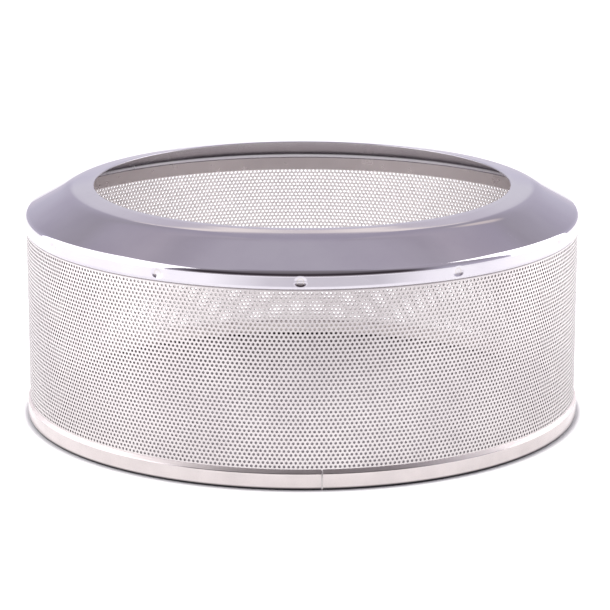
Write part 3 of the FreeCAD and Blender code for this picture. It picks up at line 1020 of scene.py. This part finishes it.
def wall_bead():
    """A low rippled bead down the wall's seam, proud of both faces of the sheet."""
    across = np.linspace(-1, 1, BEAD_COLUMNS)
    points, faces = [], []
    for height in np.linspace(WALL_FOOT, WALL_TOP, BEAD_ROWS + 1):
        for radius, way, order in ((WALL_RADIUS, 1, across), (WALL_BORE, -1, across[::-1])):
            for share in order:
                hump = 1 - share ** 2
                wave = math.cos(math.tau * (height / RIPPLE + 0.5 * hump))
                lift = WALL_BEAD_PROUD * hump + RIPPLE_DEEP * wave * hump + 0.005 * MM
                azimuth = SEAM_AZIMUTH + math.degrees(share * WALL_BEAD_HALF / WALL_RADIUS)
                x, y = around(azimuth, radius + way * lift)
                points.append((x, y, height))
    count = 2 * BEAD_COLUMNS
    for row in range(BEAD_ROWS):
        for j in range(count):
            k = (j + 1) % count
            faces.append((row * count + j, row * count + k, (row + 1) * count + k, (row + 1) * count + j))
    faces.append(range(count))
    faces.append(range(BEAD_ROWS * count, (BEAD_ROWS + 1) * count))
    made = mesh_object("wall_seam_bead", points, faces, weld_material)
    outward_and_smooth(made, 60)
    return made


wall_weld = wall_bead()
belongs(wall_weld, "weld", "wall_seam_weld")


def filed_butt(azimuth, loop):
    """The strip's weld is filed nearly flush, and low on the ledge."""
    share = (azimuth - STRIP_SEAM_AZIMUTH) / half_gap
    crown = (0.015 * (1 - share ** 2) - 0.01) * MM
    moved = np.zeros(len(loop))
    for place, (radius, height) in enumerate(loop):
        if radius > STRIP_RADIUS - STRIP / 2:
            moved[place] = crown
        if height > LEDGE_FOOT - LEDGE_BEND / 3 and radius > WALL_RADIUS:
            moved[place] = -0.5 * MM * (1 - 0.6 * share ** 2)
    return moved


strip_weld = turned_sheet(
    "strip_seam_bead", strip_loop,
    np.linspace(STRIP_SEAM_AZIMUTH - half_gap, STRIP_SEAM_AZIMUTH + half_gap, 9), False,
    weld_material, filed_butt)
belongs(strip_weld, "weld", "base_ring_seam_weld")

LEG_WELD_HEIGHT = 6.0 * MM
leg_nuggets = nuggets(
    "edging_nuggets", [15 + 30 * place for place in range(12)], LEG_WELD_HEIGHT,
    lambda across, up: LEG_BORE, 2.2 * MM, -1, nugget_material)
belongs(leg_nuggets, "spot_weld", "base_ring_spot_welds")

# %% [markdown]
# ## Floor and light
#
# Polished steel shows its surroundings and hardly any colour of its own, so the light is built for
# what each surface mirrors. The floor is white paper on a table that is lit from below, as product
# tables are. Under the drum the paper has a greyer tone, which is painted shade, so that the holes
# show darker. The table's glow is left off under the drum and fades in just outside the foot, a
# painted contact shade, and one place in front is dimmer, a painted shadow, because the skirt
# mirrors it. A pale grey tent stands round the back and the sides. The side where the camera stands
# is dark, and that draws the dark line along the collar's shoulder.

# %% The floor
FLOOR_HALF = 6.0
FOOT_RADIUS = ring_high.x
TABLE_LIGHT = 0.67
MASK_FROM = FOOT_RADIUS + 1.0 * MM
MASK_TO = FOOT_RADIUS + 4 * MM
HOLLOW_SHIFT = (-0.2, 2.65, 0)
HOLLOW_SCALE = (2.5, 4.6, 1)
HOLLOW_LIGHT = 0.36
floor_mesh_points = [
    (-FLOOR_HALF, -FLOOR_HALF, 0), (FLOOR_HALF, -FLOOR_HALF, 0),
    (FLOOR_HALF, FLOOR_HALF, 0), (-FLOOR_HALF, FLOOR_HALF, 0)]
paper, paper_tree, paper_shader = new_material("matt_white_paper")
paper_shader.inputs["Metallic"].default_value = 0.0
paper_shader.inputs["Roughness"].default_value = 0.9
paper_shader.inputs["Emission Color"].default_value = linear("#ffffff")
seen, off_axis = places_round(paper_tree)[:2]
# The paper under the drum is given a greyer tone: painted shade.
under = add(paper_tree, MATH, {0: off_axis, 1: LEG_BORE}, operation="LESS_THAN")
sheet = add(paper_tree, "ShaderNodeMix", {
    0: under, MIX_A: linear("#f6f6f6"), MIX_B: linear("#c4c0c0")}, data_type="RGBA")
paper_tree.links.new(sheet.outputs[MIX_RESULT], paper_shader.inputs["Base Color"])
# The glow is off under the drum and fades in just outside the foot: painted contact shade.
glow_and_painted_contact_shade = add(paper_tree, MAP, {
    0: off_axis, FROM_LOW: MASK_FROM, FROM_HIGH: MASK_TO, TO_HIGH: TABLE_LIGHT})
# One patch in front is dimmed: a painted shadow on the floor.
off_hollow = add(paper_tree, "ShaderNodeMapping", {
    "Vector": seen, "Location": HOLLOW_SHIFT, "Scale": HOLLOW_SCALE})
hollow = add(paper_tree, "ShaderNodeVectorMath", {0: off_hollow}, operation="LENGTH")
painted_shadow_in_front = add(paper_tree, MAP, {
    0: hollow.outputs["Value"], FROM_LOW: 0.5, FROM_HIGH: 1.1, TO_LOW: HOLLOW_LIGHT, TO_HIGH: 1.0})
glow = add(paper_tree, MATH, {0: glow_and_painted_contact_shade, 1: painted_shadow_in_front}, operation="MULTIPLY")
paper_tree.links.new(glow.outputs[0], paper_shader.inputs["Emission Strength"])
floor = mesh_object("floor", floor_mesh_points, [(0, 1, 2, 3)], paper)
print("floor %.0f m across" % (2 * FLOOR_HALF))

# %% [markdown]
# The tent is a world of three sky ramps, for the front, the sides and the rear. Each stop is an
# elevation and the tone that the polished collar shows for it. The seam in the tent's rear is the
# thin bright line at 27 degrees, and the warm patch is a gap where the room's light comes in. Only
# the metal sees the tent: straight rays from the camera see plain white instead.

# %% The tent
STEEL_MIRRORS = 0.64
FRONT = ((0, "#969195"), (9, "#827c80"), (13, "#342e33"), (36, "#383237"), (45, "#5c575b"),
         (56, "#69646a"), (68, "#736f72"), (90, "#7c777d"))
SIDES = ((0, "#b5b0bc"), (6, "#aaa7b5"), (12, "#a5a1af"), (20, "#9f9ba8"), (27, "#97939e"),
         (35, "#938f98"), (40, "#9994a0"), (52, "#a09aa4"), (57, "#99949e"), (64, "#a09ba6"),
         (72, "#a39fa9"), (78, "#8f8a95"), (90, "#7f7a80"))
REAR = ((0, "#bdb9c2"), (8, "#b2afbd"), (12, "#bab8c1"), (19, "#bab7c0"), (25, "#b4afb9"),
        (26.2, "#b4afb7"), (27, "#dfd7d3"), (27.8, "#dfd7d3"), (28.8, "#97929f"), (48, "#97929f"),
        (64, "#a09ba6"), (72, "#a39fa9"), (78, "#8f8a95"), (90, "#7f7a80"))
FRONT_ENDS = (42.0, 64.0)
REAR_STARTS = (169.0, 171.5)
GAP_AZIMUTH = 159
GAP_ELEVATION = 36
GAP_WIDE = 8
GAP_HIGH = 5
GAP_TONE = "#c4bbb9"

world = bpy.data.worlds.new("tent")
bpy.context.scene.world = world
world.use_nodes = True
tree = world.node_tree
tree.nodes.clear()
facing = add(tree, "ShaderNodeTexCoord").outputs["Generated"]
x, y, z = add(tree, "ShaderNodeSeparateXYZ", {0: facing}).outputs
rise = add(tree, MATH, {0: z}, operation="ARCSINE")
elevation = add(tree, MATH, {0: rise}, operation="DEGREES")
share = add(tree, MATH, {0: elevation, 1: 90.0}, operation="DIVIDE")
forward = add(tree, MATH, {0: y, 1: -1.0}, operation="MULTIPLY")
turn = add(tree, MATH, {0: x, 1: forward}, operation="ARCTAN2")
azimuth = add(tree, MATH, {0: turn}, operation="DEGREES")
off_front = add(tree, MATH, {0: azimuth}, operation="ABSOLUTE")
sky = []
for tones in (FRONT, SIDES, REAR):
    stops = [(degrees / 90, tone) for degrees, tone in tones]
    sky.append(add(tree, "ShaderNodeValToRGB", {"Fac": share}, stops=stops))
to_sides = add(tree, MAP, {
    0: off_front, FROM_LOW: FRONT_ENDS[0], FROM_HIGH: FRONT_ENDS[1]}, interpolation_type="SMOOTHSTEP")
to_rear = add(tree, MAP, {0: off_front, FROM_LOW: REAR_STARTS[0], FROM_HIGH: REAR_STARTS[1]})
front_and_sides = add(tree, "ShaderNodeMix", {
    0: to_sides, MIX_A: sky[0], MIX_B: sky[1]}, data_type="RGBA")
all_round = add(tree, "ShaderNodeMix", {
    0: to_rear, MIX_A: front_and_sides.outputs[MIX_RESULT], MIX_B: sky[2]}, data_type="RGBA")
gap_across = add(tree, MATH, {
    0: azimuth, 1: 1 / GAP_WIDE, 2: -GAP_AZIMUTH / GAP_WIDE}, operation="MULTIPLY_ADD")
gap_up = add(tree, MATH, {
    0: elevation, 1: 1 / GAP_HIGH, 2: -GAP_ELEVATION / GAP_HIGH}, operation="MULTIPLY_ADD")
gap_place = add(tree, "ShaderNodeCombineXYZ", {"X": gap_across, "Y": gap_up})
off_gap = add(tree, "ShaderNodeVectorMath", {0: gap_place}, operation="LENGTH")
in_gap = add(tree, MAP, {
    0: off_gap.outputs["Value"], FROM_LOW: 1.0, FROM_HIGH: 0.3}, interpolation_type="SMOOTHSTEP")
with_gap = add(tree, "ShaderNodeMix", {
    0: in_gap, MIX_A: all_round.outputs[MIX_RESULT], MIX_B: linear(GAP_TONE)}, data_type="RGBA")
tent = add(tree, "ShaderNodeBackground", {
    "Color": with_gap.outputs[MIX_RESULT], "Strength": 1 / STEEL_MIRRORS})
seen_white = add(tree, "ShaderNodeBackground", {"Color": linear("#ffffff"), "Strength": 1.0})
ray = add(tree, "ShaderNodeLightPath")
mixed = add(tree, "ShaderNodeMixShader", {0: ray.outputs["Is Camera Ray"], 1: tent, 2: seen_white})
add(tree, "ShaderNodeOutputWorld", {"Surface": mixed})
print("tent of %d nodes" % len(tree.nodes))

# %% [markdown]
# Two softboxes stand beside the drum and burn out to white along the collar's shoulder, as they do
# in the polished steel of a product picture. Their near edges end the white, so their places matter
# more than their power. A third lamp lies under the drum and faces up, hidden from the camera: it
# lights the drum's inside, which would be darker than the real one's, and leaves the paper dark
# behind the holes.

# %% The lamps


def area_lamp(name, shape, width, height, brightness):
    """A lamp that looks equally bright at any size: brightness is what a mirror would show of it."""
    lamp = bpy.data.lights.new(name, "AREA")
    lamp.shape = shape
    lamp.size = width
    area = math.pi * (width / 2) ** 2
    if shape == "RECTANGLE":
        lamp.size_y = height
        area = width * height
    lamp.energy = brightness * math.pi * area
    made = bpy.data.objects.new(name, lamp)
    bpy.context.scene.collection.objects.link(made)
    return made


def standing_softbox(name, x, near, far, height, brightness):
    """An upright lamp beside the drum, at x, that runs from y near to y far and stands on the floor."""
    lamp = area_lamp(name, "RECTANGLE", far - near, height, brightness)
    lamp.location = (x, (near + far) / 2, height / 2)
    lamp.rotation_euler = (math.radians(90), 0, math.radians(90 if x > 0 else -90))


standing_softbox("softbox_left", x=-1.2, near=-0.9, far=0.85, height=1.9, brightness=1.8)
standing_softbox("softbox_right", x=1.2, near=-0.06, far=1.0, height=1.75, brightness=2.4)
table_radius = LEG_BORE - 4 * MM
table_lamp = area_lamp("table_lamp", "DISK", 2 * table_radius, 0, brightness=0.55)
table_lamp.location = (0, 0, 1 * MM)
table_lamp.rotation_euler = (math.pi, 0, 0)
table_lamp.visible_camera = False
# Light gets between the wall, the collar and the table by many mirrorings, so they are followed far.
bpy.context.scene.cycles.glossy_bounces = 10
bpy.context.scene.view_settings.view_transform = "Standard"
print("three lamps")
